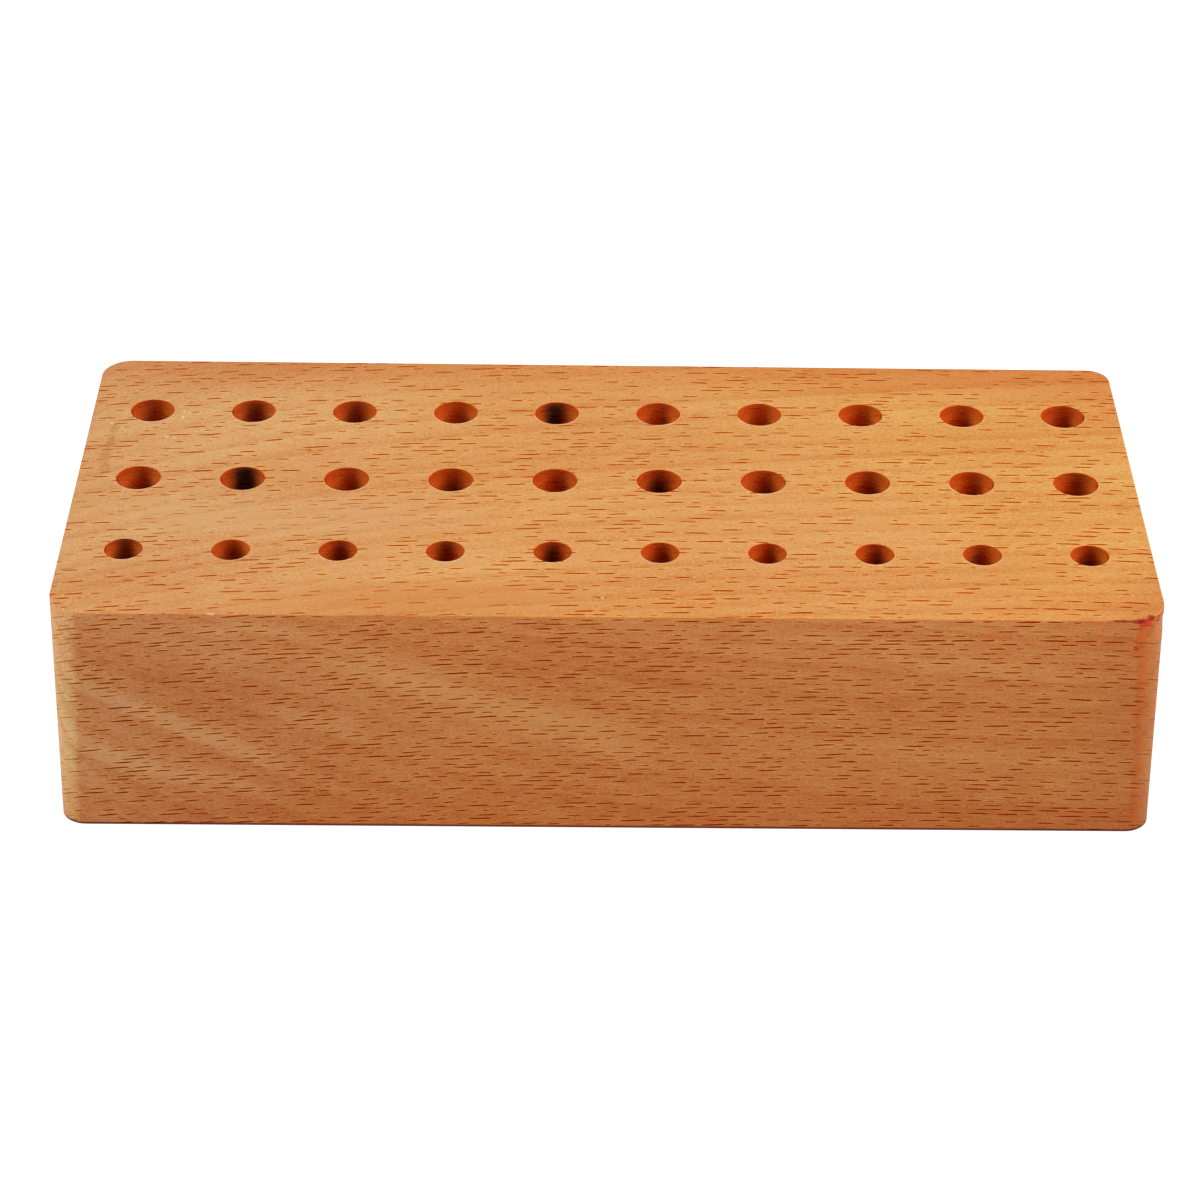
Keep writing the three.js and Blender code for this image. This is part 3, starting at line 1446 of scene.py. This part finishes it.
MARKS = (
    Mark((-101.6, 20.5, 50.0), (1.4, 2.4, 2.0), SMUDGE, 0.46, 0.5, 0.7),
    Mark((-101.8, 15.0, 50.0), (1.2, 4.2, 2.0), SMUDGE, 0.55, 0.5, 0.8),
    Mark((-102.2, 9.4, 50.0), (1.7, 4.2, 2.0), SMUDGE, 0.42, 0.5, 1.0),
    Mark((-101.9, 4.6, 50.0), (1.6, 3.4, 2.0), SMUDGE, 0.34, 0.5, 1.0),
    Mark((-102.4, 22.4, 50.0), (0.5, 0.6, 1.0), CRUMB, 0.50, 0.8, 0.4),
    Mark((-90.5, 17.2, 50.0), (0.6, 0.6, 1.0), CRUMB, 0.50, 0.9, 0.4),
    Mark((-89.1, 17.2, 50.0), (0.5, 0.5, 1.0), CRUMB, 0.45, 0.9, 0.4),
    Mark((-87.9, 27.6, 50.0), (0.4, 0.7, 1.0), CRUMB, 0.45, 0.9, 0.4),
    Mark((-88.0, 25.2, 50.0), (0.4, 1.0, 1.0), CRUMB, 0.50, 0.9, 0.4),
    Mark((-86.9, 27.0, 50.0), (0.3, 0.6, 1.0), CRUMB, 0.45, 0.9, 0.4),
    Mark((102.8, -7.7, 50.0), (2.0, 2.2, 1.0), WARM_STAIN, 0.30, 1.2, 0.8),
    Mark((-38.0, -43.0, 50.0), (44.0, 9.0, 3.0), WARM_BLUSH, 0.40, 0.3, 14.0),
    Mark((-66.0, -13.0, 50.0), (52.0, 11.0, 3.0), PALE_BLUSH, 0.32, 0.3, 14.0),
    Mark((-0.7, -42.5, 50.0), (0.5, 0.5, 1.0), CRUMB, 0.55, 0.4, 0.4),
    Mark((-1.9, -42.2, 50.0), (1.3, 0.35, 1.0), DARK_STAIN, 0.55, 0.4, 0.4),
    Mark((-103.7, -48.0, 49.8), (0.6, 0.7, 0.5), CRUMB, 0.50, 0.7, 0.5),
    Mark((-102.6, -48.5, 49.3), (1.2, 1.0, 0.7), PALE_CHIP, 0.5, 0.6, 0.6),
    Mark((-75.4, -48.9, 49.8), (1.2, 0.6, 0.3), CRUMB, 0.5, 0.5, 0.6),
    Mark((98.6, -49.0, 49.75), (3.6, 0.6, 0.32), DARK_STAIN, 0.85, 0.4, 0.9),
    Mark((102.0, -48.7, 49.5), (2.6, 1.2, 0.6), DARK_STAIN, 1.0, 0.45, 0.7),
    Mark((104.0, -47.7, 49.6), (1.5, 1.2, 0.6), DARK_STAIN, 0.95, 0.45, 0.6),
    Mark((102.8, -48.4, 48.7), (2.8, 1.5, 1.3), STAIN, 0.80, 0.8, 0.8),
    Mark((105.4, -46.6, 48.7), (0.7, 0.9, 0.6), STAIN, 0.85, 0.6, 0.5),
    Mark((105.6, -46.3, 49.4), (0.6, 0.8, 0.5), DARK_STAIN, 0.75, 0.5, 0.5),
    Mark((101.5, -48.8, 43.6), (0.75, 0.8, 1.1), STAIN, 0.95, 0.7, 0.6),
    Mark((102.3, -48.6, 44.4), (0.6, 0.8, 0.7), STAIN, 0.6, 0.7, 0.6),
    Mark((102.2, -48.6, 46.6), (1.6, 1.2, 3.0), WARM_STAIN, 0.55, 0.6, 1.4),
    Mark((103.0, -48.3, 38.0), (1.5, 1.2, 9.0), WARM_STAIN, 0.40, 0.6, 1.8),
)

STRIPS = (
    CornerStrip(-1, (0.08, 0.30), (1.13, 1.17, 1.12)),
    CornerStrip(-1, (0.18, 0.42), (1.01, 1.31, 1.58)),
    CornerStrip(1, (0.02, 0.32), (0.84, 0.69, 0.56)),
    CornerStrip(1, (0.42, 0.68), (0.90, 1.12, 1.34)),
)

PALE_BANDS = (
    PaleBand(-82.0, 24.0, 27.0, 2.6, 0.48),
    PaleBand(-84.0, 13.2, 25.0, 2.0, 0.44, -0.113),
    PaleBand(-22.0, 29.5, 42.0, 3.6, 0.42, 0.073),
    PaleBand(-69.0, 46.2, 13.0, 1.8, 0.26, -0.14),
    PaleBand(60.0, 41.0, 40.0, 2.2, 0.14, 0.057),
    PaleBand(-57.0, 25.0, 14.0, 2.4, 0.24, -0.086),
    PaleBand(70.0, 18.0, 42.0, 2.8, 0.10),
    PaleBand(-93.0, 40.0, 18.0, 3.0, -0.15),
    PaleBand(8.0, 36.5, 14.0, 2.2, -0.10, 0.06),
    PaleBand(-10.0, 34.5, 16.0, 1.8, -0.12, 0.07),
    PaleBand(-74.0, 33.0, 14.0, 2.6, -0.16),
)

TINTS = (
    Tint((1.0, 0.8, 0.0), 10.0, 100.0, (1.03, 1.07, 0.95)),
    Tint((1.0, 0.5, 0.0), -108.0, -128.0, (1.03, 1.10, 1.13)),
    Tint((1.0, -0.5, 0.0), 112.0, 128.0, (0.94, 0.87, 0.92)),
    # Dark along the lowest millimetre of the sides: painted shadow where the block meets the floor.
    Tint((0.0, 0.0, 1.0), 0.9, 0.45, (0.30, 0.19, 0.32)),
    Tint((1.0, 0.0, -1.5), 15.0, 95.0, (0.93, 0.90, 0.93)),
    # Paler and greyer towards the left: a painted reflection, the sheen of the bright surroundings on the
    # oiled wood.
    Tint((1.0, 0.0, 0.0), -10.0, -108.0, (0.96, 1.07, 1.36)),
    Tint((0.0, 0.0, 1.0), 30.0, 48.0, (1.08, 1.10, 1.12)),
    Tint((0.03, 1.0, 0.0), 30.0, 48.0, (0.95, 0.81, 0.74)),
    Tint((0.25, 1.0, 0.0), 40.0, 72.0, (0.92, 0.74, 0.70)),
    Tint((0.0, 1.0, 0.0), -28.0, -47.0, (0.98, 0.89, 0.81)),
    # Darker and redder towards the foot of the sides: painted shade where less light reaches them.
    Tint((0.0, 0.0, 1.0), 14.0, 0.0, (0.95, 0.82, 0.70)),
)


def main() -> None:
    """Build the holder, its studio and the camera, in order."""
    logging.basicConfig(level=logging.INFO, format="%(name)s: %(message)s")
    Viewpoint().build()
    log.info("camera set")

    low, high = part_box(NODE)
    block = BeechBlock(low, high, Drilling(), BURNS_AND_SHADE, DENTS, CORNERS).build()
    log.info("block drilled: %d faces", len(block.data.polygons))

    grain = BeechGrain(pale_bands=PALE_BANDS, tints=TINTS, strips=STRIPS)
    block.data.materials.append(OiledBeech(marks=MARKS).make(grain))
    block.data.materials.append(DrilledBeech().make(grain))
    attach(block, BODY)
    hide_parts(NODE)
    log.info("block dressed")

    Studio(LAMPS).build((low + high) / 2)
    bpy.context.scene.view_settings.view_transform = "Standard"
    log.info("studio lit")


if __name__ == "__main__":
    main()
